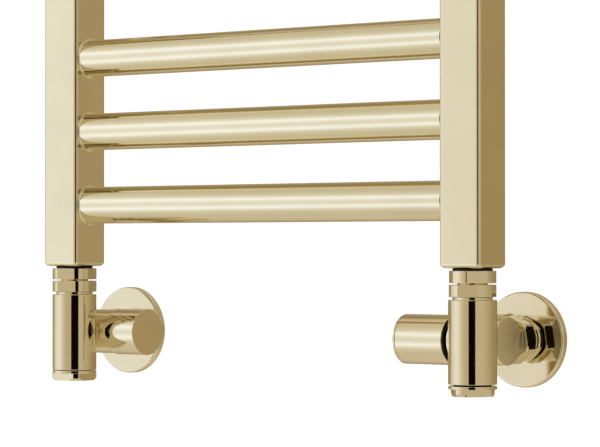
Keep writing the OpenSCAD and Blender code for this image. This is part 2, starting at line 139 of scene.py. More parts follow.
def polished(name, base, rough, stretch, ripple=0.000005):
    """Polished light brass: a little mottling, hairlines along the piece, faint waviness."""
    material, tree, shader, coords = new_material(name, 1.0)
    mottle = noise(tree, coords, 28, 3)
    low = [0.972 * c for c in base]
    high = [min(1.0, 1.02 * c) for c in base]
    colour = blend_colours(tree, remap(tree, mottle, 0, 1), low, high)
    tree.links.new(colour, shader.inputs["Base Color"])
    hairs = noise(tree, coords, 1.0, 4, stretch)
    smudge = noise(tree, coords, 65, 4)
    spread = maths(tree, "MULTIPLY_ADD", remap(tree, hairs, -0.2, 0.2), rough, rough)
    spread = maths(tree, "MULTIPLY_ADD", remap(tree, smudge, -0.1, 0.15), rough, spread)
    tree.links.new(spread, shader.inputs["Roughness"])
    wave = noise(tree, coords, 75, 1.5)
    add_bump(tree, shader, wave, ripple)
    return material


def machined(name, base, rough, ring_scale, axis):
    """Turned raw metal with fine tool rings along its axis."""
    material, tree, shader, coords = new_material(name, 1.0)
    stain = noise(tree, coords, 160, 5)
    colour = blend_colours(
        tree, remap(tree, stain, 0, 1), [0.86 * c for c in base], [1.06 * c for c in base]
    )
    tree.links.new(colour, shader.inputs["Base Color"])
    rings = tree.nodes.new("ShaderNodeTexWave")
    rings.wave_type = "BANDS"
    rings.bands_direction = axis
    rings.inputs["Scale"].default_value = ring_scale
    rings.inputs["Distortion"].default_value = 0.6
    rings.inputs["Detail"].default_value = 2.0
    tree.links.new(coords, rings.inputs["Vector"])
    tree.links.new(
        maths(tree, "MULTIPLY_ADD", remap(tree, stain, -0.3, 0.4), rough, rough),
        shader.inputs["Roughness"],
    )
    add_bump(tree, shader, rings.outputs["Fac"], 0.00003, 0.6)
    return material


def black_matt(name):
    """Black rubber or plastic, slightly dusty and matt."""
    material, tree, shader, coords = new_material(name, 0.0)
    dust = noise(tree, coords, 420, 5)
    colour = blend_colours(tree, remap(tree, dust, 0, 1), (0.006, 0.006, 0.006), (0.017, 0.016, 0.015))
    tree.links.new(colour, shader.inputs["Base Color"])
    tree.links.new(remap(tree, dust, 0.5, 0.72), shader.inputs["Roughness"])
    shader.inputs["Specular IOR Level"].default_value = 0.3
    add_bump(tree, shader, noise(tree, coords, 1500, 3), 0.00004, 0.5)
    return material


BRASS = (0.76, 0.68, 0.47)
FITTING = (0.75, 0.665, 0.455)
ALONG_X = (14, 1400, 1400)
ALONG_Y = (1400, 14, 1400)
ALONG_Z = (1400, 1400, 14)
upright_brass = polished("upright_brass", BRASS, 0.085, ALONG_Z, 0.00002)
rail_brass = polished("rail_brass", BRASS, 0.10, ALONG_X)
fit_x = polished("fitting_brass_x", FITTING, 0.07, ALONG_X)
fit_y = polished("fitting_brass_y", FITTING, 0.07, ALONG_Y)
fit_z = polished("fitting_brass_z", FITTING, 0.07, ALONG_Z)
satin_brass = polished("satin_brass", FITTING, 0.42, (500, 500, 500))
braze_brass = polished("braze_brass", BRASS, 0.12, (300, 300, 300), 0.00003)
raw_x = machined("raw_brass_x", (0.78, 0.60, 0.28), 0.22, 900, "X")
raw_y = machined("raw_brass_y", (0.78, 0.60, 0.28), 0.22, 900, "Y")
raw_z = machined("raw_brass_z", (0.78, 0.60, 0.28), 0.22, 900, "Z")
steel = machined("stainless", (0.56, 0.57, 0.58), 0.28, 1400, "Z")
seal_rubber = black_matt("seal_rubber")
# black core inside the wheelhead: partly a real plastic insert, partly painted shade for the gap between
# wheelhead and bonnet
plastic_core_and_gap_shade = black_matt("plastic_core_and_gap_shade")


# ---------------------------------------------------------------- geometry
def rounded(points, radii, step=15):
    """The corners of a profile, each turned into an arc of its own radius."""
    made = []
    count = len(points)
    for i, (point, radius) in enumerate(zip(points, radii)):
        p = np.array(point, float)
        if not radius:
            made.append(tuple(p))
            continue
        u = np.array(points[i - 1], float) - p
        v = np.array(points[(i + 1) % count], float) - p
        u /= np.linalg.norm(u)
        v /= np.linalg.norm(v)
        between = math.acos(max(-1.0, min(1.0, float(u @ v))))
        reach = radius / math.tan(between / 2)
        centre = p + (u + v) / np.linalg.norm(u + v) * radius / math.sin(between / 2)
        first = p + u * reach - centre
        last = p + v * reach - centre
        sweep = math.pi - between
        pieces = max(3, math.ceil(math.degrees(sweep) / step))
        turn = math.copysign(1, first[0] * last[1] - first[1] * last[0])
        for k in range(pieces + 1):
            a = turn * sweep * k / pieces
            c, s = math.cos(a), math.sin(a)
            made.append(
                (
                    centre[0] + c * first[0] - s * first[1],
                    centre[1] + s * first[0] + c * first[1],
                )
            )
    return made


def axes_of(axis):
    """Along, first and second cross direction for an axis letter, right-handed."""
    x, y, z = np.eye(3)
    return {"X": (x, y, z), "Y": (y, z, x), "Z": (z, x, y)}[axis]


def turned(rows, axis, origin, closed=False, count=ROUND, sign=1):
    """Vertices and faces of rows (radius or radii, place along the axis), in mm about origin."""
    along, one, two = axes_of(axis)
    angles = np.arange(count) * 2 * math.pi / count
    verts, faces, rings = [], [], []
    for radius, place in rows:
        base = np.array(origin, float) + sign * place * along
        if np.isscalar(radius) and abs(radius) < 1e-9:
            rings.append([len(verts)])
            verts.append(base * MM)
            continue
        radius = np.broadcast_to(np.asarray(radius, float), (count,))
        ring = base + radius[:, None] * (
            np.cos(angles)[:, None] * one + np.sin(angles)[:, None] * two
        )
        rings.append(list(range(len(verts), len(verts) + count)))
        verts.extend(ring * MM)
    pairs = list(zip(rings, rings[1:]))
    if closed:
        pairs.append((rings[-1], rings[0]))
    for a, b in pairs:
        for i in range(count):
            j = (i + 1) % count
            if len(a) == 1 and len(b) == 1:
                continue
            if len(a) == 1:
                faces.append((a[0], b[j], b[i]))
            elif len(b) == 1:
                faces.append((a[i], a[j], b[0]))
            else:
                faces.append((a[i], a[j], b[j], b[i]))
    return verts, faces


def flats_radius(sides, af, turn, count=ROUND):
    """Distance from the axis to a regular bar with that many flats, for each angle."""
    angles = np.degrees(np.arange(count) * 2 * math.pi / count)
    half = 180 / sides
    off = (angles - turn + half) % (2 * half) - half
    return af / 2 / np.cos(np.radians(off))


def soft_least(a, b, width):
    """The smaller of two radii, with a small round where they meet."""
    return -width * np.logaddexp(-np.asarray(a, float) / width, -np.asarray(b, float) / width)


def mesh_of(name, parts):
    """One object from several (vertices, faces) pairs."""
    verts, faces = [], []
    for v, f in parts:
        start = len(verts)
        verts.extend(tuple(p) for p in v)
        faces.extend(tuple(i + start for i in face) for face in f)
    mesh = bpy.data.meshes.new(name)
    mesh.from_pydata(verts, [], faces)
    bm = bmesh.new()
    bm.from_mesh(mesh)
    bmesh.ops.recalc_face_normals(bm, faces=bm.faces)
    bm.to_mesh(mesh)
    bm.free()
    obj = bpy.data.objects.new(name, mesh)
    scene.collection.objects.link(obj)
    return obj


def combine(obj, other, operation):
    """Adds or cuts another solid, and removes it."""
    modifier = obj.modifiers.new("combine", "BOOLEAN")
    modifier.object = other
    modifier.operation = operation
    modifier.solver = "EXACT"
    graph = bpy.context.evaluated_depsgraph_get()
    mesh = bpy.data.meshes.new_from_object(obj.evaluated_get(graph))
    obj.modifiers.clear()
    obj.data = mesh
    bpy.data.objects.remove(other)
    return obj


def piece(obj, material, slot, body, *nodes):
    """Smooth shading, material, body, and the CAD nodes that it stands for; slot is not used."""
    mesh = obj.data
    mesh.materials.clear()
    mesh.materials.append(material)
    mesh.shade_smooth()
    mesh.set_sharp_from_angle(angle=math.radians(20))
    weighted = obj.modifiers.new("weighted", "WEIGHTED_NORMAL")
    weighted.keep_sharp = True
    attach(obj, body)
    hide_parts(*nodes)
    return obj


def carry(node, material):
    """A CAD node that stays, with a better material."""
    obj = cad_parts[node]
    obj.data.materials.clear()
    obj.data.materials.append(material)


# ---------------------------------------------------------------- places, mm
def mid_mm(node):
    low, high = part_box(node)
    return np.array((low + high) / 2) / MM


def low_mm(node):
    return np.array(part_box(node)[0]) / MM


def high_mm(node):
    return np.array(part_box(node)[1]) / MM


SIDES = {"left": -1, "right": 1}
post_x = {s: mid_mm(f"{s}_upright")[0] for s in SIDES}
row_y = mid_mm("left_upright")[1]
top_z = high_mm("left_upright")[2]
bottom_z = low_mm("left_upright")[2]

# upright and rail sizes
UPRIGHT_HALF, UPRIGHT_EDGE, UPRIGHT_END = 15.0, 2.5, 2.8
PORT_R, PORT_DEPTH = 9.3, 12.0
RAIL_R, RAIL_BORE = 12.5, 11.0
CAP_R, CAP_T = 12.5, 3.5  # top plugs

# valve sizes, from the upright housing's middle
HOUSING = 25.75  # half its height
HOUSING_R = 15
CROSS_Y, CROSS_END, CROSS_MOUTH = 24.0, 10.0, 20.1
COLLAR_R, SPIGOT_R, SPIGOT_TOP = 12.4, 11.5, 31
UNION_LOW, UNION_HIGH = 27.5, 35.0
LOCK_LOW, LOCK_HIGH = 36.0, 43.5
WASHER_TOP = 45
NUT_AF, NUT_R = 27, 15
PLUG_AF, PLUG_END, LIP_R, LIP_T, NECK_R = 24, -33.0, 14.9, 2.0, 9.9
BOSS_CORE_R, BOSS_R, BOSS_END = 9.9, 11.9, 46
PIPE_NUT_FRONT, PIPE_NUT_BACK = 39.1, 49.1
SLEEVE_R, PIPE_BORE = 9, 7.65
ROSE_R, ROSE_FRONT, WALL_Y = 30, 55, 60
CHAMBER_R, SEAT_R, SEAT_FAR = 8, 4.5, 4.5

# headwork sizes, along the cross housing
BONNET_IN, SHOULDER, SHAFT_BORE, GUIDE_AF = 13.2, 24.0, 4.1, 10.6
BONNET_NECK_R = 9
HEAD_R = 15.7  # the wheelhead and the lockshield cap
WHEEL_START, WHEEL_END, SHELL_R = 29.6, 66.9, 14.4
GROOVE_LOW, GROOVE_HIGH, GROOVE_DEPTH = 64.2, 65.5, 0.4
INSERT_END, DISC_LOW, DISC_HOLE = 62.0, 64.7, 6.0
SHIELD_START, SHIELD_END = 20.2, 45.4

# bracket sizes, along the way to the wall
POST_R, POST_END, FLANGE_R, STEM_R = 11, 52, 20, 5.5

valve_z = low_mm("left_valve_body")[2] + HOUSING
valve = {s: np.array([post_x[s], row_y, valve_z]) for s in SIDES}
cross = {s: valve[s] + np.array([0, CROSS_Y, 0]) for s in SIDES}


# ---------------------------------------------------------------- the rack
def square_ring(half, corner, count=64):
    """Radii of a rounded square for evenly spread points, as x and y."""
    points = []
    per_corner = count // 4 - 6
    for quarter in range(4):
        a0 = quarter * math.pi / 2
        c, s = math.cos(a0), math.sin(a0)
        local = []
        flat = half - corner
        for k in range(6):
            local.append((half, -flat + 2 * flat * k / 6))
        for k in range(per_corner):
            a = math.pi / 2 * k / (per_corner - 1)
            local.append((flat + corner * math.cos(a), flat + corner * math.sin(a)))
        points.extend((c * x - s * y, s * x + c * y) for x, y in local)
    return points


def upright(side):
    """A square tube with round long edges, rounded ends and a threaded port in each end."""
    x0, half, edge, end = post_x[side], UPRIGHT_HALF, UPRIGHT_EDGE, UPRIGHT_END
    sections = []
    for k in range(9):
        a = math.pi / 2 * k / 8
        inset = end * (1 - math.sin(a))
        sections.append((half - inset, edge + 0.2 * inset, bottom_z + end * (1 - math.cos(a))))
    sections.reverse()
    count = 64
    rows = []
    lower = [(h, e, z) for h, e, z in reversed(sections)]
    for h, e, z in lower:
        rows.append((square_ring(h, e, count), z))
    for z in np.linspace(bottom_z + 40, top_z - 40, 12):
        rows.append((square_ring(half, edge, count), z))
    for h, e, z in sections:
        rows.append((square_ring(h, e, count), bottom_z + top_z - z))
    ring = square_ring(half, edge, count)
    start = math.atan2(ring[0][1], ring[0][0])
    turn = [start + 2 * math.pi * k / count for k in range(count)]

    def circle(radius):
        return [(radius * math.cos(a), radius * math.sin(a)) for a in turn]

    head = [(circle(PORT_R), bottom_z + PORT_DEPTH), (circle(PORT_R), bottom_z + 0.8)]
    head.append((circle(PORT_R + 0.8), bottom_z))
    foot = [(p, bottom_z + top_z - z) for p, z in reversed(head)]
    rows = head + rows + foot
    verts, faces = [], []
    for outline, z in rows:
        verts.extend((np.array([x0 + x, row_y + y, z]) * MM) for x, y in outline)
    for r in range(len(rows) - 1):
        a, b = r * count, (r + 1) * count
        for i in range(count):
            j = (i + 1) % count
            faces.append((a + i, a + j, b + j, b + i))
    for r, z in ((0, rows[0][1]), (len(rows) - 1, rows[-1][1])):
        verts.append(np.array([x0, row_y, z]) * MM)
        centre = len(verts) - 1
        for i in range(count):
            faces.append((r * count + i, r * count + (i + 1) % count, centre))
    obj = mesh_of(f"{side}_post_tube", [(verts, faces)])
    piece(obj, upright_brass, "rack_brass", "rack", f"{side}_upright")


for side in SIDES:
    upright(side)

rails = [f"rail_{n:02d}" for n in range(1, 12)]
for node in rails:
    low, high, mid = low_mm(node), high_mm(node), mid_mm(node)
    reach = (high - low)[0] / 2
    profile = rounded(
        [(RAIL_BORE, -reach), (RAIL_R, -reach), (RAIL_R, reach), (RAIL_BORE, reach)],
        [0.2, 0.2, 0.2, 0.2],
    )
    obj = mesh_of(f"{node}_tube", [turned(profile, "X", mid, closed=True)])
    piece(obj, rail_brass, "rack_brass", "rack", node)

for side, sign in SIDES.items():
    face_x = post_x[side] - sign * UPRIGHT_HALF
    parts = []
    for node in rails:
        mid = mid_mm(node)
        profile = [(12.4, 0.0)]
        fillet, flare = 1.2, 1.35
        for k in range(9):
            a = math.pi / 2 * k / 8
            profile.append(
                (RAIL_R + 0.03 + flare * (1 - math.sin(a)), fillet * (1 - math.cos(a)))
            )
        profile.append((12.4, fillet))
        parts.append(turned(profile, "X", [face_x, mid[1], mid[2]], closed=True, count=96, sign=-sign))
    obj = mesh_of(f"{side}_rail_joints", parts)
    piece(obj, braze_brass, "rack_brass", "rack", f"{side}_braze_rings")

# top plugs and their seals
parts = []
for side in SIDES:
    ring = rounded([(9.3, 0), (12.2, 0), (12.2, 1), (9.3, 1)], [0.1, 0.4, 0.4, 0.1])
    parts.append(turned(ring, "Z", [post_x[side], row_y, top_z], closed=True))
obj = mesh_of("top_seal_rings", parts)
piece(obj, seal_rubber, "black_rubber", "rack", "top_plug_seals")

plug_low = top_z + 1.0
pocket, floor_z = 4.2, CAP_T - 3.4
vent = rounded(
    [
        (0, -10), (9.2, -10), (9.2, 0), (CAP_R, 0), (CAP_R, CAP_T),
        (pocket, CAP_T), (pocket, floor_z), (3.0, floor_z), (3.0, floor_z - 3), (0, floor_z - 3),
    ],
    [0, 0.4, 0, 0.25, 0.8, 0.35, 0.3, 0.1, 0, 0],
)
obj = mesh_of("vent_plug_body", [turned(vent, "Z", [post_x["right"], row_y, plug_low])])
weep = [(0, 3.5), (0.8, 3.5), (0.8, 14), (0, 14)]
drill = mesh_of("drill", [turned(weep, "Y", [post_x["right"], row_y, plug_low + 1.5], count=24)])
combine(obj, drill, "DIFFERENCE")
piece(obj, fit_z, "fitting_brass", "rack", "vent_plug")

blank = rounded(
    [(0, -10), (9.2, -10), (9.2, 0), (CAP_R, 0), (CAP_R, CAP_T), (0, CAP_T)],
    [0, 0.4, 0, 0.25, 0.8, 0],
)
obj = mesh_of("blanking_plug_body", [turned(blank, "Z", [post_x["left"], row_y, plug_low])])
key = flats_radius(6, 8, 0, 96)
socket = [(0, CAP_T - 5), (key * 0.2, CAP_T - 5), (key, CAP_T - 4.6), (key, CAP_T - 0.5)]
socket += [(key + 0.8, CAP_T + 0.3), (0, CAP_T + 0.3)]
drill = mesh_of("drill", [turned(socket, "Z", [post_x["left"], row_y, plug_low], count=96)])
combine(obj, drill, "DIFFERENCE")
piece(obj, fit_z, "fitting_brass", "rack", "blanking_plug")


def square_bar(half, low, high, bevel, axis, origin):
    """A square bar with softened edges and ends."""
    count = 64
    ring = square_ring(half, bevel, count)
    radii = np.array([math.hypot(x, y) for x, y in ring])
    turns = np.array([math.atan2(y, x) for x, y in ring])
    along, one, two = axes_of(axis)
    verts, faces = [], []
    rows = [(-bevel, low), (-0.3 * bevel, low + 0.3 * bevel), (0, low + bevel)]
    rows += [(0, high - bevel), (-0.3 * bevel, high - 0.3 * bevel), (-bevel, high)]
    for inset, place in rows:
        for radius, a in zip(radii + inset, turns):
            p = np.array(origin) + place * along + radius * (math.cos(a) * one + math.sin(a) * two)
            verts.append(p * MM)
    for r in range(len(rows) - 1):
        for i in range(count):
            j = (i + 1) % count
            faces.append((r * count + i, r * count + j, (r + 1) * count + j, (r + 1) * count + i))
    faces.append(tuple(range(count)))
    faces.append(tuple((len(rows) - 1) * count + i for i in range(count)))
    return verts, faces


low, high = low_mm("bleed_screw"), high_mm("bleed_screw")
top = high[2]
screw_at = [post_x["right"], row_y, 0]
shank = rounded(
    [(0, low[2]), (1.5, low[2]), (3.0, low[2] + 1.5), (3.0, top - 3.1), (0, top - 3.1)],
    [0, 0.2, 0.3, 0.2, 0],
)
obj = mesh_of(
    "bleed_screw_key",
    [
        turned(shank, "Z", screw_at, count=48),
        square_bar(2.5, top - 3.0, top, 0.35, "Z", screw_at),
    ],
)
piece(obj, raw_z, "raw_brass", "bleed_screw", "bleed_screw")

# wall flanges and posts
for node in [f"{level}_{side}" for level in ("lower", "upper") for side in SIDES]:
    mid = mid_mm(f"{node}_wall_flange")
    at = [mid[0], row_y, mid[2]]
    flange = rounded(
        [
            (2.75, WALL_Y), (FLANGE_R, WALL_Y), (FLANGE_R, 55), (8, 55), (8, 31), (STEM_R, 31),
            (STEM_R, 55), (2.75, 55),
        ],
        [0.15, 0.2, 0.8, 0.5, 0.3, 0.3, 0, 0.15],
    )
    obj = mesh_of(f"{node}_wall_disc", [turned(flange, "Y", at, closed=True)])
    piece(obj, fit_y, "fitting_brass", "rack", f"{node}_wall_flange")
    post = rounded(
        [
            (0, 7.5), (4, 7.5), (4, UPRIGHT_HALF), (POST_R, UPRIGHT_HALF), (POST_R, POST_END),
            (8.05, POST_END), (8.05, 21), (0, 21),
        ],
        [0, 0.4, 0, 0.15, 0.7, 0.3, 0.2, 0],
    )
    obj = mesh_of(f"{node}_stand_off", [turned(post, "Y", at)])
    hole = [(0, 0), (2.55, 0), (2.55, 7), (0, 7)]
    drill = mesh_of("drill", [turned(hole, "Z", [at[0], row_y + 46, at[2] - 14.5], count=32)])
    combine(obj, drill, "DIFFERENCE")
    piece(obj, fit_y, "fitting_brass", "rack", f"{node}_post")


# ---------------------------------------------------------------- valves
def nut_rows(low, high, bore, sides, af, trim, turn, bore_high, ease=0.3, soft=0.02, count=240):
    """Rows of a nut: a round bar with flats, its ends eased, a little round on every edge."""
    flat = flats_radius(sides, af, turn, count)

    def outline(place):
        edge = min(place - low, high - place)
        return soft_least(flat, trim - ease * max(0.0, 1.0 - edge / ease), soft)

    ends = []
    for a in (0, 18, 36, 54, 72, 90):
        drop = 0.28 * (1 - math.sin(math.radians(a)))
        ends.append((drop, 0.28 * (1 - math.cos(math.radians(a)))))
    lower = [(outline(low + up) - drop, low + up) for drop, up in ends]
    upper = [(outline(high - up) - drop, high - up) for drop, up in reversed(ends)]
    span = high - low
    inner = [low + ease + 0.05, low + 0.2 * span, low + span / 2, high - 0.2 * span, high - ease - 0.05]
    middle = [(outline(z), z) for z in inner]
    rows = [(bore, low + 0.3), (bore + 0.3, low)] + lower + middle + upper
    return rows + [(bore_high + 0.3, high), (bore_high, high - 0.3)]


TURN = {  # direction of one flat, seen along the axis
    "left_lock": 16.3, "right_lock": 44.9, "left_union": 18.6, "right_union": 22.4,
    "left_plug": 2.2, "right_plug": 44.4, "pipe": 81,
}
PLUG_GAP = {"left": 0.35, "right": 0.95}
for side, sign in SIDES.items():
    at = valve[side]
    rows = nut_rows(LOCK_LOW, LOCK_HIGH, 9.35, 4, NUT_AF, NUT_R, TURN[f"{side}_lock"], 9.35)
    obj = mesh_of(f"{side}_lock_ring", [turned(rows, "Z", at, closed=True, count=240)])
    piece(obj, fit_z, "fitting_brass", "rack", f"{side}_lock_nut")
    rows = nut_rows(UNION_LOW, UNION_HIGH, 11.6, 4, NUT_AF, NUT_R, TURN[f"{side}_union"], 9.5)
    obj = mesh_of(f"{side}_union_ring", [turned(rows, "Z", at, closed=True, count=240)])
    piece(obj, fit_z, "fitting_brass", "rack", f"{side}_union_nut")

    # bottom plug: a short square with a coned end, under a round lip
    count = 240
    flat = flats_radius(4, PLUG_AF, TURN[f"{side}_plug"], count)
    lip_top = -HOUSING - PLUG_GAP[side]
    lip_low = lip_top - LIP_T
    cone = rounded(
        [(0, PLUG_END), (13.3, PLUG_END), (NUT_R, PLUG_END + 1.5), (NUT_R, lip_low)],
        [0, 0.5, 0.5, 0],
    )
    rows = [(0, PLUG_END)] + [(soft_least(flat, radius, 0.02), place) for radius, place in cone[1:]]
    rows += rounded(
        [(12.2, lip_low), (LIP_R, lip_low), (LIP_R, lip_top), (NECK_R, lip_top)], [0, 0.3, 0.3, 0]
    )
    rows += [(NECK_R, lip_top + 9), (0, lip_top + 9)]
    obj = mesh_of(f"{side}_base_plug", [turned(rows, "Z", at, count=count)])
    piece(obj, fit_z, "fitting_brass", "rack", f"{side}_bottom_plug")

    # body: upright housing, cross housing behind it, boss for the pipe
    head = -sign
    housing = rounded(
        [
            (0, -HOUSING), (HOUSING_R, -HOUSING), (HOUSING_R, HOUSING), (COLLAR_R, HOUSING),
            (COLLAR_R, 27.4), (SPIGOT_R, UNION_LOW), (SPIGOT_R, SPIGOT_TOP), (0, SPIGOT_TOP),
        ],
        [0, 0.45, 0.45, 0.2, 0.2, 0.0, 0.4, 0],
    )
    obj = mesh_of(f"{side}_valve_casting", [turned(housing, "Z", at, count=192)])
    barrel = rounded(
        [(0, -CROSS_END), (HOUSING_R, -CROSS_END), (HOUSING_R, CROSS_MOUTH), (0, CROSS_MOUTH)],
        [0, 0.45, 0.4, 0],
    )
    part = mesh_of("part", [turned(barrel, "X", cross[side], count=192, sign=head)])
    combine(obj, part, "UNION")
    boss = rounded(
        [
            (0, 20), (BOSS_CORE_R, 20), (BOSS_CORE_R, PIPE_NUT_FRONT), (BOSS_R, PIPE_NUT_FRONT),
            (BOSS_R, BOSS_END), (0, BOSS_END),
        ],
        [0, 0, 0, 0, 0.4, 0],
    )
    part = mesh_of("part", [turned(boss, "Y", at, count=160)])
    combine(obj, part, "UNION")
    past = CROSS_MOUTH + 0.2
    chamber = [(0, 0.5), (SEAT_R, 0.5), (SEAT_R, SEAT_FAR), (CHAMBER_R, SEAT_FAR)]
    chamber += [(CHAMBER_R, past), (0, past)]
    part = mesh_of("part", [turned(chamber, "X", cross[side], count=96, sign=head)])
    combine(obj, part, "DIFFERENCE")
    piece(obj, fit_z, "fitting_brass", "rack", f"{side}_valve_body")
    # the flat closed end of the cross housing is ground, not buffed
    obj.data.materials.append(satin_brass)
    closed_x = (cross[side][0] + sign * CROSS_END) * MM
    for face in obj.data.polygons:
        if abs(face.normal.x) > 0.99 and abs(face.center.x - closed_x) < 0.1 * MM:
            face.material_index = 1

    # pipe joint and rosette
    rows = nut_rows(
        PIPE_NUT_FRONT, PIPE_NUT_BACK, 11.95, 6, NUT_AF, 15.2, TURN["pipe"], 9.1, ease=0.9
    )
    obj = mesh_of(f"{side}_pipe_nut", [turned(rows, "Y", at, closed=True, count=240)])
    piece(obj, fit_y, "fitting_brass", "rack", f"{side}_compression_nut")
    sleeve = rounded(
        [(PIPE_BORE, PIPE_NUT_BACK), (SLEEVE_R, PIPE_NUT_BACK), (SLEEVE_R, WALL_Y), (PIPE_BORE, WALL_Y)],
        [0.2, 0.3, 0.2, 0.2],
    )
    obj = mesh_of(f"{side}_cover_tube", [turned(sleeve, "Y", at, closed=True)])
    piece(obj, fit_y, "fitting_brass", "rack", f"{side}_pipe_sleeve")
    rose = rounded(
        [
            (9.05, 51.5), (13, 51.5), (13, ROSE_FRONT), (ROSE_R, ROSE_FRONT), (ROSE_R, WALL_Y),
            (28.8, WALL_Y), (28.8, 56.2), (9.05, 56.2),
        ],
        [0.3, 0.6, 0.9, 1.4, 0.25, 0.25, 0.6, 0.2],
    )
    obj = mesh_of(f"{side}_wall_rosette", [turned(rose, "Y", at, closed=True, count=192)])
    piece(obj, fit_y, "fitting_brass", "rack", f"{side}_rosette")

# seals under the uprights and over the bottom plugs
parts = []
for side in SIDES:
    ring = rounded(
        [(9.4, LOCK_HIGH), (12.4, LOCK_HIGH), (12.4, WASHER_TOP), (9.4, WASHER_TOP)],
        [0.1, 0.5, 0.5, 0.1],
    )
    parts.append(turned(ring, "Z", valve[side], closed=True))
obj = mesh_of("tail_seal_rings", parts)
piece(obj, seal_rubber, "black_rubber", "rack", "tail_washers")
parts = []
for side in SIDES:
    under = -HOUSING - PLUG_GAP[side]
    ring = rounded(
        [(10.1, under), (11.6, under), (11.6, -HOUSING), (10.1, -HOUSING)], [0.05, 0.15, 0.15, 0.05]
    )
    parts.append(turned(ring, "Z", valve[side], closed=True))
obj = mesh_of("plug_seal_rings", parts)
piece(obj, seal_rubber, "black_rubber", "rack", "plug_seals")

# right headwork: bonnet with its round flange, wheelhead and cover
count = 192
guide = flats_radius(6, GUIDE_AF, 0, count)
# the bonnets' bores, round for the shaft and six-sided for the stem
bores = [(SHAFT_BORE, SHOULDER), (guide, SHOULDER), (guide, BONNET_IN)]
at = cross["right"]
bonnet = rounded(
    [
        (SHAFT_BORE, BONNET_IN), (7.95, BONNET_IN), (7.95, CROSS_MOUTH), (HOUSING_R, CROSS_MOUTH),
        (HOUSING_R, 26.3), (BONNET_NECK_R, 26.3), (BONNET_NECK_R, 36), (SHAFT_BORE, 36),
    ],
    [0, 0.3, 0, 0.3, 0.45, 0.4, 0.5, 0.2],
)
rows = bonnet[1:] + bores
obj = mesh_of("right_bonnet_turning", [turned(rows, "X", at, closed=True, count=count, sign=-1)])
piece(obj, fit_x, "fitting_brass", "rack", "right_bonnet")
wheel = rounded(
    [
        (DISC_HOLE, DISC_LOW), (DISC_HOLE, WHEEL_END), (HEAD_R, WHEEL_END), (HEAD_R, GROOVE_HIGH),
        (HEAD_R - GROOVE_DEPTH, GROOVE_HIGH), (HEAD_R - GROOVE_DEPTH, GROOVE_LOW),
        (HEAD_R, GROOVE_LOW), (HEAD_R, WHEEL_START), (SHELL_R, WHEEL_START), (SHELL_R, INSERT_END),
        (4.5, INSERT_END), (4.5, DISC_LOW),
    ],
    [0, 0.2, 0.35, 0.1, 0.05, 0.05, 0.1, 0.45, 0.2, 0, 0.1, 0],
)
obj = mesh_of("wheelhead_shell", [turned(wheel, "X", at, closed=True, count=192, sign=-1)])
piece(obj, fit_x, "fitting_brass", "wheel", "wheelhead")
# black core inside the wheelhead, partly a real plastic insert and partly painted shade: its black
# stands for the shade seen in the gap between wheelhead and bonnet
core = rounded(
    [
        (11.5, WHEEL_START + 0.3), (SHELL_R - 0.05, WHEEL_START + 0.3), (SHELL_R - 0.05, INSERT_END),
        (4.5, INSERT_END), (4.5, 60.0), (4.2, 60.0), (4.2, 44.0), (11.5, 44.0),
    ],
    [0.4, 0.3, 0.2, 0.1, 0, 0, 0.1, 0.4],
)
obj = mesh_of("wheelhead_core_and_gap_shade", [turned(core, "X", at, closed=True, sign=-1)])
piece(obj, plastic_core_and_gap_shade, "black_plastic", "wheel", "wheelhead_insert")
cover = rounded(
    [
        (0, DISC_LOW), (DISC_HOLE - 0.05, DISC_LOW), (DISC_HOLE - 0.05, WHEEL_END - 0.3),
        (0, WHEEL_END - 0.3),
    ],
    [0, 0.1, 0.35, 0],
)
obj = mesh_of("wheelhead_cap_disc", [turned(cover, "X", at, sign=-1)])
piece(obj, fit_x, "fitting_brass", "wheel", "wheelhead_cover")

# left headwork: bonnet with a hexagon, spindle and lockshield cap
at = cross["left"]
flat = flats_radius(6, 20, 0, count)
rows = [(7.95, BONNET_IN), (7.95, CROSS_MOUTH - 0.1), (soft_least(flat, 11.0, 0.12) - 0.2, CROSS_MOUTH)]
rows += [(soft_least(flat, 11.3, 0.12), 20.4), (soft_least(flat, 11.3, 0.12), 23.5)]
rows += [(soft_least(flat, 10.6, 0.12) - 0.1, SHOULDER)]
rows += rounded(
    [(9.6, SHOULDER), (BONNET_NECK_R, SHOULDER + 0.2), (BONNET_NECK_R, 34.0), (SHAFT_BORE, 34.0)],
    [0, 0, 0.6, 0.2],
)
rows += bores
obj = mesh_of("left_bonnet_turning", [turned(rows, "X", at, closed=True, count=count)])
piece(obj, fit_x, "fitting_brass", "rack", "left_bonnet")
stem = rounded(
    [
        (0, 10.2), (2.5, 10.2), (2.5, 22.0), (5.2, 22.0), (5.2, SHOULDER), (4.0, SHOULDER), (4.0, 36.0),
        (0, 36.0),
    ],
    [0, 0.3, 0, 0.2, 0.2, 0, 0.4, 0],
)
obj = mesh_of(
    "lockshield_stem",
    [turned(stem, "X", at, count=64), square_bar(2.8, 35.8, 41.0, 0.4, "X", at)],
)
piece(obj, raw_x, "raw_brass", "lockshield_spindle", "left_spindle")
shield = rounded(
    [
        (12.7, SHIELD_START), (HEAD_R, SHIELD_START), (HEAD_R, SHIELD_END), (0, SHIELD_END),
        (0, SHIELD_END - 3), (7, SHIELD_END - 3), (7, 35), (9.05, 35), (9.05, 27), (12.7, 27),
    ],
    [0.3, 0.4, 0.35, 0, 0, 0.3, 0.3, 0.2, 0.3, 0.3],
)
obj = mesh_of("lockshield_cover", [turned(shield, "X", at, closed=True, count=192)])
piece(obj, fit_x, "fitting_brass", "lockshield_cap", "lockshield_cap")

# CAD nodes that keep their shape
for node, material in {
    "threaded_inserts": raw_y, "grub_screws": steel, "left_tail": raw_z, "right_tail": raw_z,
    "right_spindle": raw_x, "left_jumper": raw_x, "right_jumper": raw_x,
    "wheelhead_screw": steel, "union_washers": seal_rubber, "olives": raw_y,
}.items():
    carry(node, material)


# ---------------------------------------------------------------- studio
WHITE = 1.05  # brightness of the surroundings, as the camera sees them
FLOOR_DROP = 0.23  # m from the uprights' lower ends to the floor


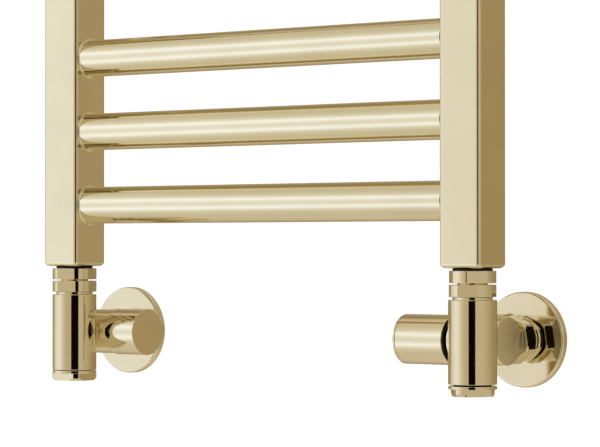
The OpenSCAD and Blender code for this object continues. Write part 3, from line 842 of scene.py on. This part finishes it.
def world_studio():
    """White for the camera; the metal sees a soft studio, brighter at the front left."""
    world = bpy.data.worlds.new("studio")
    scene.world = world
    world.use_nodes = True
    tree = world.node_tree
    tree.nodes.clear()
    direction = tree.nodes.new("ShaderNodeTexCoord").outputs["Generated"]
    split = tree.nodes.new("ShaderNodeSeparateXYZ")
    tree.links.new(direction, split.inputs["Vector"])
    x, y, z = split.outputs
    azimuth = maths(tree, "ARCTAN2", x, maths(tree, "MULTIPLY", y, -1.0))
    turn = maths(tree, "MULTIPLY_ADD", azimuth, 1 / (2 * math.pi), 0.5)
    around = tree.nodes.new("ShaderNodeValToRGB")
    around.color_ramp.interpolation = "B_SPLINE"
    levels = [
        (-180, 0.34), (-130, 0.36), (-102, 0.36), (-84, 0.80), (-62, 1.00), (-42, 1.06),
        (-28, 0.88), (-10, 0.66), (10, 0.60), (50, 0.66), (70, 0.68), (104, 0.62), (142, 0.44),
        (180, 0.34),
    ]
    elements = around.color_ramp.elements
    while len(elements) < len(levels):
        elements.new(0.5)
    for element, (degrees, level) in zip(elements, levels):
        element.position = (degrees + 180) / 360
        element.color = (level / 2, level / 2, level / 2, 1)
    tree.links.new(turn, around.inputs["Fac"])
    level = maths(tree, "MULTIPLY", around.outputs["Color"], 2.0)
    tall = maths(tree, "ABSOLUTE", z)
    up = tree.nodes.new("ShaderNodeMapRange")
    up.interpolation_type = "SMOOTHSTEP"
    up.inputs["From Min"].default_value = 0.30
    up.inputs["From Max"].default_value = 0.80
    tree.links.new(tall, up.inputs["Value"])
    high = maths(tree, "SUBTRACT", 0.74, level)
    level = maths(tree, "MULTIPLY_ADD", up.outputs["Result"], high, level)
    # two soft strips, a little above and below the horizon
    off = maths(tree, "MULTIPLY", maths(tree, "SUBTRACT", tall, 0.32), 7.0)
    strip = maths(tree, "POWER", 2.718, maths(tree, "MULTIPLY", maths(tree, "MULTIPLY", off, off), -1.0))
    level = maths(tree, "MULTIPLY_ADD", maths(tree, "MULTIPLY", strip, 0.22), level, level)
    # a dim beam high up behind the rack
    beam_z = maths(tree, "MULTIPLY", maths(tree, "SUBTRACT", z, 0.675), 7.0)
    beam_y = maths(tree, "MULTIPLY", maths(tree, "SUBTRACT", y, 0.42), 4.5)
    near = maths(tree, "MULTIPLY_ADD", beam_y, beam_y, maths(tree, "MULTIPLY", beam_z, beam_z))
    beam = maths(tree, "POWER", 2.718, maths(tree, "MULTIPLY", near, -1.0))
    level = maths(tree, "MULTIPLY_ADD", beam, -0.34, level)
    tint = tree.nodes.new("ShaderNodeValToRGB")
    stops = [
        (0.0, (0, 0, 0)), (0.134, (0.134, 0.082, 0.021)), (0.33, (0.33, 0.27, 0.15)),
        (0.44, (0.44, 0.34, 0.19)), (0.61, (0.61, 0.53, 0.40)), (0.73, (0.73, 0.68, 0.57)),
        (0.81, (0.81, 0.79, 0.71)), (0.94, (0.94, 0.93, 0.94)), (1.05, (1.05, 1.10, 1.20)),
        (1.19, (1.19, 1.27, 1.52)), (1.6, (1.55, 1.62, 1.85)),
    ]
    elements = tint.color_ramp.elements
    while len(elements) < len(stops):
        elements.new(0.5)
    for element, (place, colour) in zip(elements, stops):
        element.position = place / 1.6
        element.color = (*(c / 2 for c in colour), 1)
    tree.links.new(maths(tree, "MULTIPLY", level, 1 / 1.6), tint.inputs["Fac"])
    studio = tree.nodes.new("ShaderNodeBackground")
    tree.links.new(tint.outputs["Color"], studio.inputs["Color"])
    studio.inputs["Strength"].default_value = 2.0
    plain = tree.nodes.new("ShaderNodeBackground")
    plain.inputs["Color"].default_value = (1, 1, 1, 1)
    plain.inputs["Strength"].default_value = WHITE
    ray = tree.nodes.new("ShaderNodeLightPath")
    choice = tree.nodes.new("ShaderNodeMixShader")
    tree.links.new(ray.outputs["Is Camera Ray"], choice.inputs["Fac"])
    tree.links.new(studio.outputs[0], choice.inputs[1])
    tree.links.new(plain.outputs[0], choice.inputs[2])
    out = tree.nodes.new("ShaderNodeOutputWorld")
    tree.links.new(choice.outputs[0], out.inputs["Surface"])


def studio_floor():
    """A round pale floor whose rim melts into the white surroundings."""
    floor_z, radius = bottom_z * MM - FLOOR_DROP, 1.6
    rings, count = 24, 96
    verts = [(0, 0, floor_z)]
    faces = []
    for r in range(1, rings + 1):
        for k in range(count):
            a = 2 * math.pi * k / count
            reach = radius * r / rings
            verts.append((reach * math.cos(a), reach * math.sin(a), floor_z))
    for k in range(count):
        faces.append((0, 1 + k, 1 + (k + 1) % count))
    for r in range(rings - 1):
        a, b = 1 + r * count, 1 + (r + 1) * count
        for k in range(count):
            j = (k + 1) % count
            faces.append((a + k, b + k, b + j, a + j))
    mesh = bpy.data.meshes.new("floor")
    mesh.from_pydata(verts, [], faces)
    floor = bpy.data.objects.new("floor", mesh)
    scene.collection.objects.link(floor)
    material, tree, shader, coords = new_material("pale_floor", 0.0)
    colour = blend_colours(tree, noise(tree, coords, 3, 2), (0.82, 0.84, 0.88), (0.85, 0.87, 0.91))
    tree.links.new(colour, shader.inputs["Base Color"])
    shader.inputs["Roughness"].default_value = 0.7
    split = tree.nodes.new("ShaderNodeSeparateXYZ")
    tree.links.new(coords, split.inputs["Vector"])
    x, y, _ = split.outputs
    reach = maths(tree, "SQRT", maths(tree, "MULTIPLY_ADD", x, x, maths(tree, "MULTIPLY", y, y)))
    rim = tree.nodes.new("ShaderNodeMapRange")
    rim.interpolation_type = "SMOOTHSTEP"
    rim.inputs["From Min"].default_value = 0.35
    rim.inputs["From Max"].default_value = 1.35
    rim.inputs["To Min"].default_value = 0.45
    tree.links.new(reach, rim.inputs["Value"])
    glow = tree.nodes.new("ShaderNodeEmission")
    glow.inputs["Strength"].default_value = WHITE
    choice = tree.nodes.new("ShaderNodeMixShader")
    tree.links.new(rim.outputs["Result"], choice.inputs["Fac"])
    tree.links.new(shader.outputs[0], choice.inputs[1])
    tree.links.new(glow.outputs[0], choice.inputs[2])
    out = tree.nodes["Material Output"]
    tree.links.new(choice.outputs[0], out.inputs["Surface"])
    mesh.materials.append(material)
    floor.visible_glossy = False
    floor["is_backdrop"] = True


def black_card():
    """A black studio card beside the camera, seen only in reflections."""
    left, right = Vector((0.63, -1.76, 0)), Vector((0.55, -0.42, 0))
    low, high = -0.85, 0.15
    verts, faces = [], []
    steps = 8
    for i in range(steps + 1):
        p = left.lerp(right, i / steps)
        verts.append((p.x, p.y, low))
        verts.append((p.x, p.y, high))
    for i in range(steps):
        faces.append((2 * i, 2 * i + 2, 2 * i + 3, 2 * i + 1))
    mesh = bpy.data.meshes.new("black_card")
    mesh.from_pydata(verts, [], faces)
    card = bpy.data.objects.new("black_card", mesh)
    scene.collection.objects.link(card)
    material, tree, shader, coords = new_material("black_card", 0.0)
    grain = noise(tree, coords, 30, 2)
    colour = blend_colours(tree, grain, (0.004, 0.002, 0.001), (0.006, 0.003, 0.002))
    tree.links.new(colour, shader.inputs["Base Color"])
    shader.inputs["Roughness"].default_value = 1.0
    shader.inputs["Specular IOR Level"].default_value = 0.0
    mesh.materials.append(material)
    card.visible_camera = False
    card.visible_diffuse = False
    card.visible_shadow = False
    card.visible_transmission = False
    card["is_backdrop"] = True


world_studio()
studio_floor()
black_card()

camera_data = bpy.data.cameras.new("camera")
camera = bpy.data.objects.new("camera", camera_data)
scene.collection.objects.link(camera)
scene.camera = camera
AZIMUTH, RISE = 0.6646, 0.00905
camera.location = (1.09982, -1.42385, -0.37908)
look = Vector(
    (-math.sin(AZIMUTH) * math.cos(RISE), math.cos(AZIMUTH) * math.cos(RISE), math.sin(RISE))
)
camera.rotation_euler = look.to_track_quat("-Z", "Y").to_euler()
camera_data.sensor_width = 36.0
camera_data.lens = 162.28
camera_data.clip_start = 0.05
camera_data.clip_end = 50.0

low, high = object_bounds()
